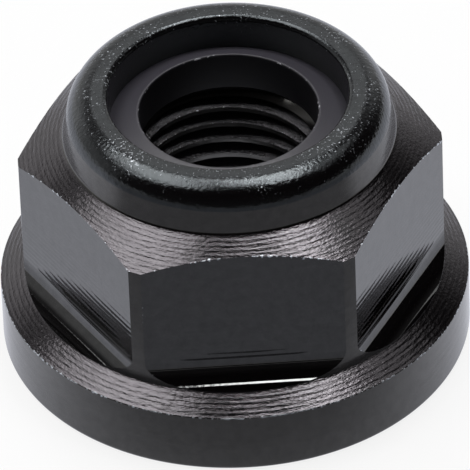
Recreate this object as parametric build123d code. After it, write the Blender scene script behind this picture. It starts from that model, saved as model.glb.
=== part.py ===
from build123d import *

import os
from math import sqrt, tan, radians

# Self-locking flange nut, M10 x 1.0 and 19 mm across flats, in two pieces. The body is turned from
# round aluminium bar and its six flats are milled. The ring is nylon: it sits on a shoulder above
# the thread, and the collar round it is rolled in over its rim to hold it. The bolt's thread bites
# into the ring, and that keeps the nut from working loose.
#
# Millimetres, +Z up along the thread. The origin is the centre of the bearing face, and one flat
# of the hexagon faces -Y.

# Thread: the bore is left at the thread's crests.
thread_diameter = 10.0
thread_pitch = 1.0
entry_depth = 0.8            # countersink where the bolt comes in
runout_depth = 0.6           # countersink under the ring, where the tap ran out

# Hexagon: the bar is turned down before the flats are milled, so the corners stay blunt.
across_flats = 19.0
corner_cut = 0.195           # taken off each sharp corner, measured on the radius
crown_height = 12.48         # where the chamfer ends at the neck
crown_angle = 30.0           # slope of the chamfer above the flats
cove_radius = 1.2            # rounded foot that the cutter leaves under each flat
cove_step = 0.08             # floor of the milled pocket, above the flange's slope

# Flange
flange_overhang = 1.225      # past the blunt corners
flange_rim_height = 3.4      # upright wall of the flange
flange_slope = 30.0          # the top rises from the rim to the hexagon
flange_foot_round = 0.3

# Collar, rolled in over the ring
collar_wall = 1.66
collar_lean = 10.0           # the rolled wall leans in by this many degrees
lip_cover = 0.7              # how far the lip reaches over the ring's rim
lip_thickness = 1.91
lip_round = 1.42             # outer bend of the lip
neck_foot_round = 0.2

# Locking ring
shoulder_depth = 0.88        # the ring's seat, below the neck's foot
ring_bite = 0.47             # how far the ring reaches inside the thread's roots
ring_face_width = 1.55       # the part of its face that the lip leaves open
ring_rim_height = 1.36       # the part that the lip holds down
ring_rim_chamfer = 0.2
ring_crest_rise = 0.78       # its inner edge is squeezed up, above the rim
ring_bore_chamfer = 0.15
ring_clearance = 0.03        # round the ring and under the lip

# Radii that follow
crest_radius = (thread_diameter - 1.0825 * thread_pitch) / 2
half_flats = across_flats / 2
corner_radius = across_flats / sqrt(3) - corner_cut
flange_radius = corner_radius + flange_overhang
ring_bore_radius = thread_diameter / 2 - ring_bite
mouth_radius = ring_bore_radius + ring_face_width
seat_radius = mouth_radius + lip_cover
ring_radius = seat_radius - ring_clearance
neck_radius = seat_radius + collar_wall

# Heights that follow
hexagon_foot = flange_rim_height + flange_overhang * tan(radians(flange_slope))
pocket_floor = hexagon_foot + cove_step
corner_top = crown_height - (corner_radius - neck_radius) * tan(radians(crown_angle))
shoulder_height = crown_height - shoulder_depth
ring_rim_top = shoulder_height + ring_rim_height
ring_crest = ring_rim_top + ring_crest_rise
lip_underside = ring_rim_top + ring_clearance
lip_top = lip_underside + lip_thickness


def turned(*rows):
    """Revolve a closed outline about the thread. Each row is radius, height, corner rounding."""
    points = [(radius, height) for radius, height, rounding in rows]
    roundings = [rounding for radius, height, rounding in rows]
    with BuildSketch(Plane.XZ) as section:
        with BuildLine():
            FilletPolyline(*points, radius=roundings, close=True)
        make_face()
    return revolve(section.sketch, Axis.Z)


def turned_blank():
    """The body as it leaves the lathe, with its collar already rolled in."""
    wall_top_radius = neck_radius - (lip_top - crown_height) * tan(radians(collar_lean))
    return turned(
        (crest_radius + entry_depth, 0, 0),
        (flange_radius, 0, flange_foot_round),
        (flange_radius, flange_rim_height, 0),
        (corner_radius, hexagon_foot, 0),
        (corner_radius, corner_top, 0),
        (neck_radius, crown_height, neck_foot_round),
        (wall_top_radius, lip_top, lip_round),
        (mouth_radius, lip_top, 0),
        (mouth_radius, lip_underside, 0),
        (seat_radius, lip_underside, 0),
        (seat_radius, shoulder_height, 0),
        (crest_radius + runout_depth, shoulder_height, 0),
        (crest_radius, shoulder_height - runout_depth, 0),
        (crest_radius, entry_depth, 0),
    )


def milling_cut():
    """What the cutter clears in front of the flat that faces +X, with the cove at its foot."""
    clear_radius = flange_radius + 1
    clear_height = lip_top + 1
    with BuildSketch(Plane.XZ) as section:
        with BuildLine():
            FilletPolyline(
                (half_flats, clear_height),
                (half_flats, pocket_floor),
                (clear_radius, pocket_floor),
                (clear_radius, clear_height),
                radius=[0, cove_radius, 0, 0],
                close=True,
            )
        make_face()
    return extrude(section.sketch, amount=flange_radius, both=True)


def nut_body():
    """The turned blank with its six flats milled."""
    flats = [Rot(Z=30 + 60 * turn) * milling_cut() for turn in range(6)]
    return turned_blank() - flats


def locking_ring():
    """The nylon ring, seated on its shoulder, with its rim under the lip."""
    return turned(
        (ring_bore_radius, shoulder_height, 0),
        (ring_radius, shoulder_height, 0),
        (ring_radius, ring_rim_top - ring_rim_chamfer, 0),
        (ring_radius - ring_rim_chamfer, ring_rim_top, 0),
        (mouth_radius, ring_rim_top, 0),
        (ring_bore_radius + ring_bore_chamfer, ring_crest, 0),
        (ring_bore_radius, ring_crest - ring_bore_chamfer, 0),
    )


os.makedirs("parts", exist_ok=True)
for name, shape in (("nut_body", nut_body()), ("locking_ring", locking_ring())):
    export_step(shape, f"parts/{name}.step")
    print(name, f"{shape.volume:.1f} mm3", "valid" if shape.is_valid else "not valid")
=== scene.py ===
"""A worn, black anodised flange nut with a nylon locking ring, standing in a pale studio."""

from math import cos, pi, radians, sin, tan, tau

import bmesh
import bpy
from bpy.props import FloatProperty, FloatVectorProperty, IntProperty, PointerProperty
from mathutils import Matrix, Vector


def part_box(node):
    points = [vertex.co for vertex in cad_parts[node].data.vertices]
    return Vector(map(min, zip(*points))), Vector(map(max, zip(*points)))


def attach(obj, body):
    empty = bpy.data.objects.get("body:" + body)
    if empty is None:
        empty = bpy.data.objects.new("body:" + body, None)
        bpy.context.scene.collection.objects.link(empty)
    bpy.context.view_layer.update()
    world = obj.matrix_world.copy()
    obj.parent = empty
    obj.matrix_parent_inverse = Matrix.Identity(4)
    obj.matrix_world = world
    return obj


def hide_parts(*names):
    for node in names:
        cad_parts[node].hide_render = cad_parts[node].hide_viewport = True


bl_info = {
    "name": "Self-locking nut",
    "version": (1, 0, 0),
    "blender": (4, 5, 0),
    "location": "3D View > Sidebar > Nut",
    "description": "Builds a flange nut with a rolled-in locking ring, and the studio it stands in",
    "category": "Object",
}

MM = 0.001

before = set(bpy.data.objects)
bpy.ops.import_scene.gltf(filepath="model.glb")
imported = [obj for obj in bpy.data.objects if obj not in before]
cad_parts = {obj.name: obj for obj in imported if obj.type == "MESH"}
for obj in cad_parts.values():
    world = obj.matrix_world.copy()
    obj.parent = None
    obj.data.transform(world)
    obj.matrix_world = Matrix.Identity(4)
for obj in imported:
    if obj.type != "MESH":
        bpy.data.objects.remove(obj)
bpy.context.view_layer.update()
BODY_LOW, BODY_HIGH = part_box("nut_body")
RING_LOW, RING_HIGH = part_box("locking_ring")


def linear(hex_colour):
    """Turn an sRGB hex colour into linear red, green, blue and alpha."""
    channels = [int(hex_colour[place : place + 2], 16) / 255 for place in (1, 3, 5)]
    return [c / 12.92 if c <= 0.04045 else ((c + 0.055) / 1.055) ** 2.4 for c in channels] + [1]


# Sizes and colours that a user would change


class NutSizes(bpy.types.PropertyGroup):
    """Sizes of the turned and milled body. Those of the frame's own box are read from it."""

    flange_radius: FloatProperty(
        name="Flange radius",
        description="Radius of the flange's upright wall",
        default=BODY_HIGH.x,
        unit="LENGTH",
    )
    flange_rim_height: FloatProperty(
        name="Flange rim height",
        description="Height of the flange's upright wall",
        default=3.4 * MM,
        unit="LENGTH",
    )
    across_flats: FloatProperty(
        name="Across flats",
        description="Spanner size of the hexagon",
        default=19 * MM,
        unit="LENGTH",
    )
    corner_radius: FloatProperty(
        name="Corner radius",
        description="Radius of the bar that the blunt corners are left from",
        default=10.7747 * MM,
        unit="LENGTH",
    )
    crown_height: FloatProperty(
        name="Crown height",
        description="Where the chamfer above the flats meets the neck",
        default=12.48 * MM,
        unit="LENGTH",
    )
    neck_radius: FloatProperty(
        name="Neck radius",
        description="Radius at the foot of the collar",
        default=8.44 * MM,
        unit="LENGTH",
    )
    mouth_radius: FloatProperty(
        name="Mouth radius",
        description="Opening that the rolled lip leaves over the ring",
        default=6.08 * MM,
        unit="LENGTH",
    )
    seat_radius: FloatProperty(
        name="Seat radius",
        description="Pocket that holds the locking ring",
        default=6.78 * MM,
        unit="LENGTH",
    )
    ring_bore_radius: FloatProperty(
        name="Ring bore radius",
        description="Bore of the locking ring, tighter than the bolt",
        default=4.53 * MM,
        unit="LENGTH",
    )
    thread_diameter: FloatProperty(
        name="Thread diameter",
        description="Outer diameter of the thread",
        default=10 * MM,
        unit="LENGTH",
    )
    thread_pitch: FloatProperty(
        name="Thread pitch",
        description="Distance from one turn of the thread to the next",
        default=1 * MM,
        unit="LENGTH",
    )
    spin_steps: IntProperty(
        name="Steps round",
        description="Facets in one full turn of the lathe",
        default=288,
        min=48,
    )


class NutFinish(bpy.types.PropertyGroup):
    """Colours and grain of the finishes."""

    anodised_colour: FloatVectorProperty(
        name="Anodised colour",
        description="Dyed oxide on the aluminium",
        subtype="COLOR",
        size=4,
        default=linear("#080607"),
    )
    bare_colour: FloatVectorProperty(
        name="Bare metal",
        description="Aluminium that shows where an edge is chipped",
        subtype="COLOR",
        size=4,
        default=linear("#c6cad0"),
    )
    nylon_colour: FloatVectorProperty(
        name="Nylon",
        description="Black polyamide of the locking ring",
        subtype="COLOR",
        size=4,
        default=linear("#35333a"),
    )
    # Painted shade: this darker colour is laid on the ring's bore, where shade falls in the hole.
    bore_shade_colour: FloatVectorProperty(
        name="Burnished nylon",
        description="The ring's bore, rubbed smooth and dark",
        subtype="COLOR",
        size=4,
        default=linear("#161519"),
    )
    # Partly wear and partly a painted highlight: this pale colour along the ring's crest stands for
    # scuffs and for the edge's glint.
    scuff_and_highlight_colour: FloatVectorProperty(
        name="Scuffed nylon",
        description="The ring's crest, where bolts and tools have rubbed it pale",
        subtype="COLOR",
        size=4,
        default=linear("#8c8c92"),
    )
    floor_colour: FloatVectorProperty(
        name="Floor",
        description="Paper that the nut stands on",
        subtype="COLOR",
        size=4,
        default=linear("#f4f4f4"),
    )
    turning_feed: FloatProperty(
        name="Turning feed",
        description="Distance between the lathe tool's grooves",
        default=0.26 * MM,
        unit="LENGTH",
    )
    milling_feed: FloatProperty(
        name="Milling feed",
        description="Distance between the cutter's lines on the flats",
        default=0.28 * MM,
        unit="LENGTH",
    )


# Shapes that follow from the sizes

SLOPE = tan(radians(30))             # of the crown and of the flange's top
FOOT_ROUND = 0.3 * MM
RIM_BREAK = 0.06 * MM                # the worn edge round the top of the flange
NECK_ROUND = 0.2 * MM
LIP_ROUND = 1.42 * MM
MOUTH_ROUND = 0.3 * MM
COLLAR_LEAN = tan(radians(10))
LIP_GAP = 0.03 * MM                  # between the ring's rim and the lip
ENTRY_DEPTH = 0.8 * MM
RUNOUT_DEPTH = 0.6 * MM
COVE_RADIUS = 1.2 * MM
COVE_STEP = 0.02 * MM
RING_RIM_HEIGHT = 1.36 * MM
RING_RIM_CHAMFER = 0.2 * MM
RING_EDGE_ROUND = 0.12 * MM
TOOL_NOSE = 1.0 * MM                 # radius of the turning tool's tip
GROOVE_FACETS = 6
CUTTER_NOSE = 3 * MM                 # radius of the milling cutter's edge
CORNER_WEAR = 0.09 * MM              # how much less the upright corners wear than the crown's edge
THREAD_DEPTH = 0.54125               # of the nut's thread, as a share of its pitch
TAP_REACH = 0.7                      # how far the tap's profile runs inward, likewise
CLEARANCE = MM                       # how far the cutters reach past the blank
TINY = 0.001 * MM

# Places of the materials on the body
TURNED, FACED, ROLLED, MILLED, TAPPED = range(5)


def thread_crest(sizes):
    """Radius of the thread's crests, which is also the plain bore's."""
    return sizes.thread_diameter / 2 - THREAD_DEPTH * sizes.thread_pitch


def hexagon_foot(sizes):
    """Height at which the flange's slope meets the blunt corners."""
    return sizes.flange_rim_height + (sizes.flange_radius - sizes.corner_radius) * SLOPE


def add_outline(mesh, corners):
    """Lay a closed face in the XZ plane. Each corner is radius, height, rounding and segments."""
    verts = [mesh.verts.new((radius, 0, height)) for radius, height, rounding, segments in corners]
    mesh.faces.new(verts)
    places = [vert.co.copy() for vert in verts]
    for index, (radius, height, rounding, segments) in enumerate(corners):
        if not rounding:
            continue
        here = places[index]
        before = places[index - 1] - here
        after = places[(index + 1) % len(places)] - here
        bmesh.ops.bevel(
            mesh,
            geom=[verts[index]],
            offset=rounding / tan(before.angle(after) / 2),
            offset_type="OFFSET",
            segments=segments,
            profile=0.5,
            affect="VERTICES",
            material=-1,
        )


def groove_slopes(mesh, feed):
    """Cut the round tool's grooves into the outline's two long 30 degree slopes."""
    slopes = []
    for edge in mesh.edges:
        run = edge.verts[1].co - edge.verts[0].co
        if edge.calc_length() > MM and abs(run.z + run.x * SLOPE) < TINY:
            slopes.append(edge)
    outward = Vector((SLOPE, 0, 1)).normalized()
    for edge in slopes:
        start = edge.verts[0].co.copy()
        grooves = round(edge.calc_length() / feed)
        width = edge.calc_length() / grooves
        deepest = (width / 2) ** 2 / (2 * TOOL_NOSE)
        cut = bmesh.ops.subdivide_edges(mesh, edges=[edge], cuts=grooves * GROOVE_FACETS - 1)
        for vert in cut["geom_inner"]:
            if isinstance(vert, bmesh.types.BMVert):
                from_middle = (vert.co - start).length % width - width / 2
                vert.co += outward * (from_middle**2 / (2 * TOOL_NOSE) - deepest)


def spin_outline(mesh, angle, steps, rise=0.0):
    """Sweep the outline round the thread's axis, climbing by rise at each step."""
    bmesh.ops.delete(mesh, geom=mesh.faces[:], context="FACES_ONLY")
    bmesh.ops.spin(
        mesh,
        geom=mesh.verts[:] + mesh.edges[:],
        cent=(0, 0, 0),
        axis=(0, 0, 1),
        dvec=(0, 0, rise),
        angle=angle,
        steps=steps,
        use_merge=not rise,
    )


def new_object(name, mesh, materials, index=0):
    """Close a bmesh into an object whose faces all carry one of the materials."""
    bmesh.ops.recalc_face_normals(mesh, faces=mesh.faces[:])
    for face in mesh.faces:
        face.material_index = index
        face.smooth = True
    data = bpy.data.meshes.new(name)
    mesh.to_mesh(data)
    mesh.free()
    for material in materials:
        data.materials.append(material)
    piece = bpy.data.objects.new(name, data)
    bpy.context.scene.collection.objects.link(piece)
    return piece


def apply_modifiers(piece):
    """Keep the mesh that the piece's modifiers give, and drop them."""
    graph = bpy.context.evaluated_depsgraph_get()
    data = bpy.data.meshes.new_from_object(piece.evaluated_get(graph))
    piece.modifiers.clear()
    old = piece.data
    piece.data = data
    bpy.data.meshes.remove(old)


def cut_away(piece, cutters):
    """Take the cutters' volumes out of the piece, one after the other."""
    for cutter in cutters:
        cut = piece.modifiers.new(cutter.name, "BOOLEAN")
        cut.operation = "DIFFERENCE"
        cut.solver = "MANIFOLD"
        cut.object = cutter
    apply_modifiers(piece)
    for cutter in cutters:
        bpy.data.meshes.remove(cutter.data)


def shade_worked_metal(piece, sharp_angle):
    """Keep machined edges crisp and let each broad face rule the shading at its borders."""
    piece.data.shade_smooth()
    piece.data.set_sharp_from_angle(angle=sharp_angle)
    weighted = piece.modifiers.new("face shading", "WEIGHTED_NORMAL")
    weighted.mode = "FACE_AREA"
    weighted.weight = 50
    weighted.keep_sharp = True
    apply_modifiers(piece)


def finish_faces(piece, sizes):
    """Give the blank's faces their finish: grooved slopes, smooth walls and the rolled collar."""
    for face in piece.data.polygons:
        radius = face.center.xy.length
        if face.center.z > BODY_HIGH.z - LIP_ROUND:
            face.material_index = ROLLED
        elif face.normal.z > 0.8 and radius > sizes.neck_radius:
            face.material_index = TURNED
        else:
            face.material_index = FACED


def turned_blank(sizes, finish, materials):
    """The body as it leaves the lathe, with its collar already rolled in over the ring."""
    crest = thread_crest(sizes)
    corner_top = sizes.crown_height - (sizes.corner_radius - sizes.neck_radius) * SLOPE
    shoulder = RING_LOW.z
    lip_underside = shoulder + RING_RIM_HEIGHT + LIP_GAP
    lip_top = BODY_HIGH.z
    wall_top = sizes.neck_radius - (lip_top - sizes.crown_height) * COLLAR_LEAN
    mesh = bmesh.new()
    add_outline(
        mesh,
        [
            (crest + ENTRY_DEPTH, 0, 0, 0),
            (sizes.flange_radius, 0, FOOT_ROUND, 9),
            (sizes.flange_radius, sizes.flange_rim_height, RIM_BREAK, 4),
            (sizes.corner_radius, hexagon_foot(sizes), 0, 0),
            (sizes.corner_radius, corner_top, 0, 0),
            (sizes.neck_radius, sizes.crown_height, NECK_ROUND, 8),
            (wall_top, lip_top, LIP_ROUND, 28),
            (sizes.mouth_radius, lip_top, MOUTH_ROUND, 10),
            (sizes.mouth_radius, lip_underside, 0, 0),
            (sizes.seat_radius, lip_underside, 0, 0),
            (sizes.seat_radius, shoulder, 0, 0),
            (crest + RUNOUT_DEPTH, shoulder, 0, 0),
            (crest, shoulder - RUNOUT_DEPTH, 0, 0),
            (crest, ENTRY_DEPTH, 0, 0),
        ],
    )
    groove_slopes(mesh, finish.turning_feed)
    spin_outline(mesh, tau, sizes.spin_steps)
    blank = new_object("flange_nut", mesh, materials)
    finish_faces(blank, sizes)
    return blank


def milling_cutters(sizes, materials):
    """One block for each flat, with the cove that the cutter's corner leaves at the foot."""
    floor = hexagon_foot(sizes) + COVE_STEP
    clear_radius = sizes.flange_radius + CLEARANCE
    clear_height = BODY_HIGH.z + CLEARANCE
    half_flats = sizes.across_flats / 2
    cutters = []
    for turn in range(6):
        mesh = bmesh.new()
        add_outline(
            mesh,
            [
                (half_flats, floor, COVE_RADIUS, 32),
                (clear_radius, floor, 0, 0),
                (clear_radius, clear_height, 0, 0),
                (half_flats, clear_height, 0, 0),
            ],
        )
        bmesh.ops.translate(mesh, vec=(0, -sizes.flange_radius, 0), verts=mesh.verts[:])
        swept = bmesh.ops.extrude_face_region(mesh, geom=mesh.faces[:])
        moved = [part for part in swept["geom"] if isinstance(part, bmesh.types.BMVert)]
        bmesh.ops.translate(mesh, vec=(0, 2 * sizes.flange_radius, 0), verts=moved)
        bmesh.ops.rotate(
            mesh,
            cent=(0, 0, 0),
            matrix=Matrix.Rotation(radians(30 + 60 * turn), 3, "Z"),
            verts=mesh.verts[:],
        )
        cutters.append(new_object(f"flat_cutter_{turn}", mesh, materials, MILLED))
    return cutters


def thread_tap(sizes, materials):
    """A right-hand helical groove, run past the countersinks at both ends of the bore."""
    steps_a_turn = 96
    turns = 13
    start = -0.54 * MM
    pitch = sizes.thread_pitch
    root_radius = sizes.thread_diameter / 2
    inner_radius = root_radius - TAP_REACH * pitch
    root_half = pitch / 16
    inner_half = root_half + (root_radius - inner_radius) * SLOPE
    mesh = bmesh.new()
    add_outline(
        mesh,
        [
            (inner_radius, start - inner_half, 0, 0),
            (root_radius, start - root_half, 0, 0),
            (root_radius, start + root_half, 0, 0),
            (inner_radius, start + inner_half, 0, 0),
        ],
    )
    spin_outline(mesh, tau * turns, steps_a_turn * turns, pitch / steps_a_turn)
    ends = [edge for edge in mesh.edges if edge.is_boundary]
    bmesh.ops.holes_fill(mesh, edges=ends, sides=0)
    return new_object("thread_tap", mesh, materials, TAPPED)


# Materials


def add_node(tree, kind, inputs=(), **settings):
    """Add a node. Each input is a value, or the output of another node to link."""
    node = tree.nodes.new(kind)
    for name, value in settings.items():
        setattr(node, name, value)
    for socket, value in dict(inputs).items():
        if isinstance(value, bpy.types.NodeSocket):
            tree.links.new(value, node.inputs[socket])
        else:
            node.inputs[socket].default_value = value
    return node


def new_material(name):
    """An empty node material and its tree."""
    material = bpy.data.materials.new(name)
    material.use_nodes = True
    material.node_tree.nodes.clear()
    return material, material.node_tree


def lathe_place(tree, place):
    """Radius and height of a spot on the lathe."""
    across = add_node(
        tree, "ShaderNodeVectorMath", {0: place, 1: (1, 1, 0)}, operation="MULTIPLY"
    ).outputs[0]
    radius = add_node(
        tree, "ShaderNodeVectorMath", {0: across}, operation="LENGTH"
    ).outputs["Value"]
    height = add_node(tree, "ShaderNodeSeparateXYZ", {0: place}).outputs["Z"]
    return radius, height


def wound_place(tree, place, stretch):
    """A place whose patterns run round the lathe's axis, stretched along their way."""
    radius, height = lathe_place(tree, place)
    # Radius less height grows along walls and slopes alike, so one pattern fits both.
    travel = add_node(
        tree, "ShaderNodeMath", {0: radius, 1: height}, operation="SUBTRACT"
    ).outputs[0]
    across = add_node(
        tree, "ShaderNodeVectorMath", {0: place, 1: (1, 1, 0)}, operation="MULTIPLY"
    ).outputs[0]
    heading = add_node(
        tree, "ShaderNodeVectorMath", {0: across}, operation="NORMALIZE"
    ).outputs[0]
    round_it = add_node(
        tree,
        "ShaderNodeVectorMath",
        {0: heading, "Scale": 10 * MM / stretch},
        operation="SCALE",
    ).outputs[0]
    lifted = add_node(tree, "ShaderNodeCombineXYZ", {"Z": travel}).outputs[0]
    return add_node(
        tree, "ShaderNodeVectorMath", {0: round_it, 1: lifted}, operation="ADD"
    ).outputs[0]


def grain_height(tree, place, scale, detail, depth, base=0.0):
    """Height of a surface whose grain, so many metres deep, lies over a base height."""
    grain = add_node(
        tree, "ShaderNodeTexNoise", {"Vector": place, "Scale": scale, "Detail": detail}
    ).outputs["Fac"]
    return add_node(
        tree, "ShaderNodeMath", {0: grain, 1: depth, 2: base}, operation="MULTIPLY_ADD"
    ).outputs[0]


def chip_mask(tree, place, edge_distance, reach, size, amount, softness=0.06):
    """Where the black is knocked off: small dots and dashes that crowd towards an edge."""
    fine = add_node(
        tree, "ShaderNodeTexNoise", {"Vector": place, "Scale": 0.7 / size, "Detail": 2}
    ).outputs["Fac"]
    # They come in clusters about 2 mm long.
    both = grain_height(tree, place, scale=500, detail=1, depth=0.35, base=fine)
    # At the edge the two noises alone decide. One reach away, 0.5 is taken off their sum.
    away = add_node(
        tree,
        "ShaderNodeMath",
        {0: edge_distance, 1: -0.5 / reach, 2: both},
        operation="MULTIPLY_ADD",
    ).outputs[0]
    bare_from = 0.89 - amount
    return add_node(
        tree,
        "ShaderNodeMapRange",
        {"Value": away, "From Min": bare_from, "From Max": bare_from + softness},
        interpolation_type="SMOOTHSTEP",
    ).outputs[0]


def flats_distance(tree, place, height, sizes):
    """How far a spot of the crown is from the flats that cut it."""
    reach = 0.0
    for turn in (0, 60, 120):
        heading = (sin(radians(turn)), cos(radians(turn)), 0)
        along = add_node(
            tree, "ShaderNodeVectorMath", {0: place, 1: heading}, operation="DOT_PRODUCT"
        ).outputs["Value"]
        size = add_node(tree, "ShaderNodeMath", {0: along}, operation="ABSOLUTE").outputs[0]
        reach = add_node(
            tree, "ShaderNodeMath", {0: size, 1: reach}, operation="MAXIMUM"
        ).outputs[0]
    inside = add_node(
        tree, "ShaderNodeMath", {0: sizes.across_flats / 2, 1: reach}, operation="SUBTRACT"
    ).outputs[0]
    # The flange's top, further down, doesn't meet the flats.
    below_crown = add_node(
        tree, "ShaderNodeMath", {0: height, 1: sizes.crown_height / 2}, operation="LESS_THAN"
    ).outputs[0]
    return add_node(
        tree, "ShaderNodeMath", {0: inside, 1: below_crown}, operation="ADD"
    ).outputs[0]


def finish_anodised(tree, finish, tint, chips, roughness, surface):
    """The dyed oxide's own look: a black, glassy skin over aluminium, which chips lay bare."""
    colour = add_node(
        tree,
        "ShaderNodeMix",
        {"Factor": chips, "A": finish.anodised_colour, "B": finish.bare_colour},
        data_type="RGBA",
    ).outputs["Result"]
    # A chipped spot is a shallow torn pit, rougher than the skin round it.
    dull = add_node(
        tree,
        "ShaderNodeMix",
        {"Factor": chips, "A": roughness, "B": 0.45},
        data_type="FLOAT",
    ).outputs["Result"]
    # The oxide's thickness and gloss wander a little, in blotches of about half a millimetre.
    place = add_node(tree, "ShaderNodeTexCoord").outputs["Object"]
    cloud = add_node(
        tree,
        "ShaderNodeTexNoise",
        {"Vector": place, "Scale": 1800, "Detail": 6, "Roughness": 0.75},
    ).outputs["Fac"]
    gloss = add_node(
        tree,
        "ShaderNodeMapRange",
        {"Value": cloud, "From Min": 0.3, "From Max": 0.7, "To Min": 0.46, "To Max": 0.64},
    ).outputs[0]
    bump = add_node(
        tree, "ShaderNodeBump", {"Strength": 1, "Distance": 1, "Height": surface}
    ).outputs["Normal"]
    shader = add_node(
        tree,
        "ShaderNodeBsdfPrincipled",
        {
            "Base Color": colour,
            "Metallic": chips,
            "Roughness": dull,
            "IOR": 1.76,
            "Specular IOR Level": gloss,
            "Specular Tint": linear(tint),
            "Normal": bump,
        },
    ).outputs[0]
    add_node(tree, "ShaderNodeOutputMaterial", {"Surface": shader})


def anodised_turned(finish, sizes):
    """Black anodised aluminium, turned: torn grain along the grooves glitters under a lamp."""
    material, tree = new_material("anodised aluminium, turned")
    place = add_node(tree, "ShaderNodeTexCoord").outputs["Object"]
    radius, height = lathe_place(tree, place)
    # Torn grain, about 0.15 mm wide and four times as long, with a finer, rounder one over it.
    long_marks = wound_place(tree, place, 4)
    marks = grain_height(tree, long_marks, scale=7000, detail=3, depth=0.018 * MM)
    short_marks = wound_place(tree, place, 1.5)
    surface = grain_height(
        tree, short_marks, scale=9000, detail=3, depth=0.014 * MM, base=marks
    )
    rim = add_node(
        tree, "ShaderNodeMath", {0: sizes.flange_radius, 1: radius}, operation="SUBTRACT"
    ).outputs[0]
    edge = add_node(
        tree,
        "ShaderNodeMath",
        {0: rim, 1: flats_distance(tree, place, height, sizes)},
        operation="MINIMUM",
    ).outputs[0]
    chips = chip_mask(tree, place, edge, reach=0.18 * MM, size=0.13 * MM, amount=0.19)
    finish_anodised(tree, finish, "#fdf6fd", chips, 0.15, surface)
    return material


def anodised_faced(finish, sizes):
    """Black anodised aluminium, finely turned: smooth, with a faint cloudiness."""
    material, tree = new_material("anodised aluminium, finely turned")
    place = add_node(tree, "ShaderNodeTexCoord").outputs["Object"]
    height = lathe_place(tree, place)[1]
    wound = wound_place(tree, place, 6)
    surface = grain_height(tree, wound, scale=3000, detail=4, depth=0.009 * MM)
    above_rim = add_node(
        tree, "ShaderNodeMath", {0: height, 1: sizes.flange_rim_height}, operation="SUBTRACT"
    ).outputs[0]
    edge = add_node(tree, "ShaderNodeMath", {0: above_rim}, operation="ABSOLUTE").outputs[0]
    chips = chip_mask(tree, place, edge, reach=0.15 * MM, size=0.13 * MM, amount=0.25)
    finish_anodised(tree, finish, "#f7f5f0", chips, 0.16, surface)
    return material


def anodised_rolled(finish, sizes):
    """Black anodised aluminium, rolled over and handled: polished, with pale pin-prick scars."""
    material, tree = new_material("anodised aluminium, rolled")
    place = add_node(tree, "ShaderNodeTexCoord").outputs["Object"]
    height = lathe_place(tree, place)[1]
    surface = grain_height(tree, place, scale=5000, detail=4, depth=0.022 * MM)
    below_top = add_node(
        tree, "ShaderNodeMath", {0: BODY_HIGH.z, 1: height}, operation="SUBTRACT"
    ).outputs[0]
    scars = chip_mask(
        tree, place, below_top, reach=3.5 * MM, size=0.09 * MM, amount=0.11, softness=0.22
    )
    finish_anodised(tree, finish, "#c8d0d4", scars, 0.15, surface)
    return material


def anodised_milled(finish, sizes):
    """Black anodised aluminium, milled: nearly mirror flat, with fine steps along the foot."""
    material, tree = new_material("anodised aluminium, milled")
    place = add_node(tree, "ShaderNodeTexCoord").outputs["Object"]
    radius, height = lathe_place(tree, place)
    # The cutter's lines stray a little on their way along the flat.
    shifted = grain_height(tree, place, scale=250, detail=2, depth=0.06 * MM, base=height)
    sawn = add_node(
        tree,
        "ShaderNodeMath",
        {0: shifted, 1: finish.milling_feed / 2},
        operation="PINGPONG",
    ).outputs[0]
    # Its round edge leaves ridges three thousandths of a millimetre high.
    square = add_node(tree, "ShaderNodeMath", {0: sawn, 1: 2}, operation="POWER").outputs[0]
    lines = add_node(
        tree, "ShaderNodeMath", {0: square, 1: 2 * CUTTER_NOSE}, operation="DIVIDE"
    ).outputs[0]
    # The cutter bites deeper towards the foot.
    bite = add_node(
        tree,
        "ShaderNodeMapRange",
        {"Value": height, "From Min": 6 * MM, "From Max": 9 * MM, "To Min": 1, "To Max": 0.15},
    ).outputs[0]
    bitten = add_node(
        tree, "ShaderNodeMath", {0: lines, 1: bite}, operation="MULTIPLY"
    ).outputs[0]
    surface = grain_height(
        tree, place, scale=4000, detail=4, depth=0.0015 * MM, base=bitten
    )
    crown = add_node(
        tree,
        "ShaderNodeMath",
        {0: radius, 1: -SLOPE, 2: sizes.crown_height + sizes.neck_radius * SLOPE},
        operation="MULTIPLY_ADD",
    ).outputs[0]
    below = add_node(
        tree, "ShaderNodeMath", {0: crown, 1: height}, operation="SUBTRACT"
    ).outputs[0]
    # Near a corner the radius grows at half the pace of the way to the edge.
    corner = add_node(
        tree, "ShaderNodeMath", {0: sizes.corner_radius, 1: radius}, operation="SUBTRACT"
    ).outputs[0]
    upright = add_node(
        tree, "ShaderNodeMath", {0: corner, 1: 2, 2: CORNER_WEAR}, operation="MULTIPLY_ADD"
    ).outputs[0]
    edge = add_node(
        tree, "ShaderNodeMath", {0: below, 1: upright}, operation="MINIMUM"
    ).outputs[0]
    chips = chip_mask(tree, place, edge, reach=0.3 * MM, size=0.13 * MM, amount=0.2)
    finish_anodised(tree, finish, "#f9fafa", chips, 0.05, surface)
    return material


def anodised_tapped(finish, sizes):
    """Black anodised aluminium, tapped: thread flanks scraped by the tap's ground edges."""
    material, tree = new_material("anodised aluminium, tapped")
    place = add_node(tree, "ShaderNodeTexCoord").outputs["Object"]
    radius = lathe_place(tree, place)[0]
    surface = grain_height(tree, place, scale=8000, detail=3, depth=0.08 * MM)
    above_crest = add_node(
        tree, "ShaderNodeMath", {0: radius, 1: thread_crest(sizes)}, operation="SUBTRACT"
    ).outputs[0]
    chips = chip_mask(
        tree, place, above_crest, reach=0.2 * MM, size=0.1 * MM, amount=0.16, softness=0.2
    )
    finish_anodised(tree, finish, "#fbf8ff", chips, 0.2, surface)
    return material


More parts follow.
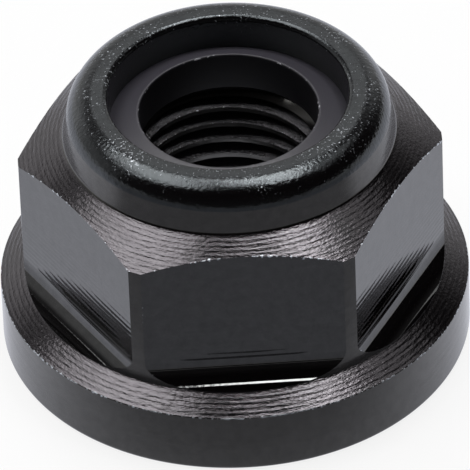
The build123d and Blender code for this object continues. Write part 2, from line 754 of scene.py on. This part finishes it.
def moulded_nylon(finish, sizes):
    """Black nylon, turned and squeezed by the lip: a soft, waxy sheen, a crest scuffed pale with a
    painted highlight, and painted shade on the bore's wall.
    """
    material, tree = new_material("nylon, black")
    place = add_node(tree, "ShaderNodeTexCoord").outputs["Object"]
    radius, height = lathe_place(tree, place)
    grain = add_node(
        tree, "ShaderNodeTexNoise", {"Vector": place, "Scale": 3000, "Detail": 4}
    ).outputs["Fac"]
    bump = add_node(
        tree, "ShaderNodeBump", {"Strength": 1, "Distance": 0.008 * MM, "Height": grain}
    ).outputs["Normal"]
    inward = add_node(
        tree, "ShaderNodeMath", {0: radius, 1: sizes.ring_bore_radius}, operation="SUBTRACT"
    ).outputs[0]
    below = add_node(
        tree, "ShaderNodeMath", {0: RING_HIGH.z, 1: height}, operation="SUBTRACT"
    ).outputs[0]
    crest = add_node(tree, "ShaderNodeMath", {0: inward, 1: below}, operation="ADD").outputs[0]
    # Pale marks along the crest: partly scuffs, partly a painted highlight on the edge.
    scuffs_and_highlight = chip_mask(tree, place, crest, reach=0.16 * MM, size=0.15 * MM, amount=0.52)
    # Painted shade: the nylon darkens to the bore's colour on the bore's own wall.
    bore_shade_fade = add_node(
        tree, "ShaderNodeMapRange", {"Value": inward, "From Min": 0, "From Max": 0.1 * MM}
    ).outputs[0]
    black = add_node(
        tree,
        "ShaderNodeMix",
        {"Factor": bore_shade_fade, "A": finish.bore_shade_colour, "B": finish.nylon_colour},
        data_type="RGBA",
    ).outputs["Result"]
    colour = add_node(
        tree,
        "ShaderNodeMix",
        {"Factor": scuffs_and_highlight, "A": black, "B": finish.scuff_and_highlight_colour},
        data_type="RGBA",
    ).outputs["Result"]
    shader = add_node(
        tree,
        "ShaderNodeBsdfPrincipled",
        {"Base Color": colour, "Roughness": 0.45, "IOR": 1.53, "Normal": bump},
    ).outputs[0]
    add_node(tree, "ShaderNodeOutputMaterial", {"Surface": shader})
    return material


def studio_paper(finish):
    """Pale matt paper. Camera rays see it near white, and it keeps the soft shadow. Mirror rays see
    it with painted shade in front of the nut and a painted blue tint.
    """
    material, tree = new_material("paper, pale")
    place = add_node(tree, "ShaderNodeTexCoord").outputs["Object"]
    forward = add_node(tree, "ShaderNodeSeparateXYZ", {0: place}).outputs["Y"]
    rays = add_node(tree, "ShaderNodeLightPath").outputs
    mirrored = add_node(
        tree,
        "ShaderNodeMath",
        {0: rays["Is Glossy Ray"], 1: rays["Is Transmission Ray"]},
        operation="MAXIMUM",
    ).outputs[0]
    share = add_node(
        tree,
        "ShaderNodeMath",
        {0: rays["Is Camera Ray"], 1: 0.85, 2: mirrored},
        operation="MULTIPLY_ADD",
    ).outputs[0]
    # Painted shade: what mirror rays see of the paper is ramped darker in front of the nut, and the
    # polished faces show it.
    near = add_node(
        tree,
        "ShaderNodeMapRange",
        {"Value": forward, "From Min": -16 * MM, "From Max": -4 * MM, "To Min": 0.38, "To Max": 1},
        interpolation_type="SMOOTHSTEP",
    ).outputs[0]
    far = add_node(
        tree,
        "ShaderNodeMapRange",
        {"Value": forward, "From Min": -90 * MM, "From Max": -25 * MM, "To Min": 0.9, "To Max": 1},
    ).outputs[0]
    painted_floor_shade = add_node(
        tree, "ShaderNodeMath", {0: near, 1: far}, operation="MULTIPLY"
    ).outputs[0]
    level = add_node(
        tree,
        "ShaderNodeMix",
        {"Factor": mirrored, "A": 1.0, "B": painted_floor_shade},
        data_type="FLOAT",
    ).outputs["Result"]
    lit = add_node(tree, "ShaderNodeBsdfDiffuse", {"Color": finish.floor_colour}).outputs[0]
    # Painted reflection: the paper that the polished faces see is tinted a little blue, like
    # skylight.
    glow = add_node(
        tree,
        "ShaderNodeMix",
        {"Factor": mirrored, "A": (1, 1, 1, 1), "B": linear("#f3f5ff")},
        data_type="RGBA",
    ).outputs["Result"]
    white = add_node(tree, "ShaderNodeEmission", {"Color": glow, "Strength": level}).outputs[0]
    mixed = add_node(tree, "ShaderNodeMixShader", {0: share, 1: lit, 2: white}).outputs[0]
    add_node(tree, "ShaderNodeOutputMaterial", {"Surface": mixed})
    return material


# Studio

CEILING = 350 * MM

# Name, place across and along, width and length as shares of the ceiling's height, turn, radiance
SOFTBOXES = (
    ("left softbox", -0.36, 0.2, 0.48, 0.84, -14, 4.2),
    ("left fill", -0.8, 0.2, 0.4, 0.7, -10, 2.2),
    ("middle strip", 0.05, 0.19, 0.06, 0.64, 0, 12),
    ("back fill", 0.08, 1.05, 0.6, 0.7, 0, 0.9),
    ("right softbox", 0.25, 0.15, 0.2, 0.72, 20, 9),
    ("right fill", 0.65, 0.2, 0.35, 0.7, 0, 0.8),
)


def add_softbox(name, across, along, width, length, turn, radiance):
    """Hang a soft lamp over the nut, placed and sized in shares of the ceiling's height."""
    lamp = bpy.data.lights.new(name, "AREA")
    lamp.shape = "RECTANGLE"
    lamp.size = width * CEILING
    lamp.size_y = length * CEILING
    lamp.energy = radiance * pi * lamp.size * lamp.size_y
    softbox = bpy.data.objects.new(name, lamp)
    softbox.location = (across * CEILING, along * CEILING, CEILING)
    softbox.rotation_euler = (0, 0, radians(turn))
    softbox.visible_camera = False
    bpy.context.scene.collection.objects.link(softbox)


# Name, axis of the direction seen, where the ramp starts and ends, brightness before and after
ROOM_RAMPS = (
    ("horizon", "Z", 0.02, 0.08, 1, 0),
    ("horizon's front", "Y", -0.8, -0.2, 0.4, 1),
    ("back wall", "Y", 0.4, 0.8, 0.03, 0.6),
    ("back wall's right end", "X", 0.45, 0.75, 1, 0.3),
    ("left wall", "X", -0.35, -0.8, 0, 0.4),
    ("left wall's front", "Y", -0.25, 0.15, 0, 1),
    ("below the lamps", "Z", 0.4, 0.7, 1, 0.15),
)


def build_world():
    """A dim room, pale at the horizon and lighter at the back and on the left."""
    world = bpy.data.worlds.new("studio")
    world.use_nodes = True
    tree = world.node_tree
    tree.nodes.clear()
    direction = add_node(tree, "ShaderNodeTexCoord").outputs["Generated"]
    axes = add_node(tree, "ShaderNodeSeparateXYZ", {0: direction}).outputs
    ramps = {}
    for name, axis, start, end, before, after in ROOM_RAMPS:
        ramps[name] = add_node(
            tree,
            "ShaderNodeMapRange",
            {
                "Value": axes[axis],
                "From Min": start,
                "From Max": end,
                "To Min": before,
                "To Max": after,
            },
            interpolation_type="SMOOTHSTEP",
        ).outputs[0]
    horizon = add_node(
        tree,
        "ShaderNodeMath",
        {0: ramps["horizon"], 1: ramps["horizon's front"]},
        operation="MULTIPLY",
    ).outputs[0]
    back_wall = add_node(
        tree,
        "ShaderNodeMath",
        {0: ramps["back wall"], 1: ramps["back wall's right end"]},
        operation="MULTIPLY",
    ).outputs[0]
    both_walls = add_node(
        tree,
        "ShaderNodeMath",
        {0: ramps["left wall"], 1: ramps["left wall's front"], 2: back_wall},
        operation="MULTIPLY_ADD",
    ).outputs[0]
    walls = add_node(
        tree,
        "ShaderNodeMath",
        {0: both_walls, 1: ramps["below the lamps"]},
        operation="MULTIPLY",
    ).outputs[0]
    level = add_node(
        tree, "ShaderNodeMath", {0: horizon, 1: walls}, operation="MAXIMUM"
    ).outputs[0]
    lit = add_node(
        tree, "ShaderNodeBackground", {"Color": (1, 1, 1, 1), "Strength": level}
    ).outputs[0]
    add_node(tree, "ShaderNodeOutputWorld", {"Surface": lit})
    bpy.context.scene.world = world


def build_floor(finish):
    """A wide sheet of paper under the nut."""
    mesh = bmesh.new()
    bmesh.ops.create_grid(mesh, x_segments=1, y_segments=1, size=600 * MM)
    floor = new_object("paper_floor", mesh, [studio_paper(finish)])


def build_camera():
    """The photograph's own view: a long lens, high in front, and turned by a little roll."""
    azimuth = radians(-2.21)
    elevation = radians(39.29)
    roll = radians(-2.26)
    distance = 475.4 * MM
    frame_width = 24.19 * MM
    back = Vector(
        (sin(azimuth) * cos(elevation), -cos(azimuth) * cos(elevation), sin(elevation))
    )
    right = Vector((cos(azimuth), sin(azimuth), 0))
    up = back.cross(right)
    aim = right * 0.082 * MM + up * 4.272 * MM
    axes = Matrix((right, up, back)).transposed()
    camera = bpy.data.cameras.new("camera")
    camera.sensor_width = 36
    camera.lens = camera.sensor_width * distance / frame_width
    camera.clip_start = 10 * MM
    camera_object = bpy.data.objects.new("camera", camera)
    camera_object.matrix_world = (
        Matrix.Translation(aim + back * distance)
        @ axes.to_4x4()
        @ Matrix.Rotation(roll, 4, "Z")
    )
    bpy.context.scene.collection.objects.link(camera_object)
    bpy.context.scene.camera = camera_object


class NUT_OT_body(bpy.types.Operator):
    """Turn, mill and tap the flange nut's body"""

    bl_idname = "nut.body"
    bl_label = "Nut body"

    def execute(self, context):
        sizes = context.scene.nut_sizes
        finish = context.scene.nut_finish
        finishes = (
            anodised_turned,
            anodised_faced,
            anodised_rolled,
            anodised_milled,
            anodised_tapped,
        )
        materials = [anodised(finish, sizes) for anodised in finishes]
        body = turned_blank(sizes, finish, materials)
        cut_away(body, milling_cutters(sizes, materials) + [thread_tap(sizes, materials)])
        shade_worked_metal(body, radians(20))
        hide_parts("nut_body")
        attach(body, "root")
        return {"FINISHED"}


class NUT_OT_locking_ring(bpy.types.Operator):
    """Make the nylon ring that the collar is rolled in over"""

    bl_idname = "nut.locking_ring"
    bl_label = "Locking ring"

    def execute(self, context):
        sizes = context.scene.nut_sizes
        finish = context.scene.nut_finish
        bore = sizes.ring_bore_radius
        rim_top = RING_LOW.z + RING_RIM_HEIGHT
        mesh = bmesh.new()
        add_outline(
            mesh,
            [
                (bore, RING_LOW.z, 0, 0),
                (RING_HIGH.x, RING_LOW.z, 0, 0),
                (RING_HIGH.x, rim_top - RING_RIM_CHAMFER, 0, 0),
                (RING_HIGH.x - RING_RIM_CHAMFER, rim_top, 0, 0),
                (sizes.mouth_radius, rim_top, 0, 0),
                (bore, RING_HIGH.z, RING_EDGE_ROUND, 4),
            ],
        )
        spin_outline(mesh, tau, sizes.spin_steps)
        ring = new_object("nylon_ring", mesh, [moulded_nylon(finish, sizes)])
        shade_worked_metal(ring, radians(30))
        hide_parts("locking_ring")
        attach(ring, "root")
        return {"FINISHED"}


class NUT_OT_stage(bpy.types.Operator):
    """Lay the floor, hang the lamps and set the camera"""

    bl_idname = "nut.stage"
    bl_label = "Studio"

    def execute(self, context):
        build_floor(context.scene.nut_finish)
        build_world()
        for softbox in SOFTBOXES:
            add_softbox(*softbox)
        build_camera()
        context.scene.view_settings.view_transform = "Standard"
        return {"FINISHED"}


class NUT_PT_panel(bpy.types.Panel):
    """Lists the nut's pieces and the studio"""

    bl_label = "Self-locking nut"
    bl_idname = "NUT_PT_panel"
    bl_space_type = "VIEW_3D"
    bl_region_type = "UI"
    bl_category = "Nut"

    def draw(self, context):
        column = self.layout.column()
        for settings in (context.scene.nut_sizes, context.scene.nut_finish):
            for name in settings.__annotations__:
                column.prop(settings, name)
        for operator in (NUT_OT_body, NUT_OT_locking_ring, NUT_OT_stage):
            column.operator(operator.bl_idname)


CLASSES = (NutSizes, NutFinish, NUT_OT_body, NUT_OT_locking_ring, NUT_OT_stage, NUT_PT_panel)


def register():
    """Register the classes and hang their settings on the scene."""
    for item in CLASSES:
        bpy.utils.register_class(item)
    bpy.types.Scene.nut_sizes = PointerProperty(type=NutSizes)
    bpy.types.Scene.nut_finish = PointerProperty(type=NutFinish)


def unregister():
    """Take the settings and the classes away again."""
    del bpy.types.Scene.nut_finish
    del bpy.types.Scene.nut_sizes
    for item in reversed(CLASSES):
        bpy.utils.unregister_class(item)


def main():
    """Build the nut and its studio."""
    register()
    bpy.ops.nut.body()
    bpy.ops.nut.locking_ring()
    bpy.ops.nut.stage()


if __name__ == "__main__":
    main()
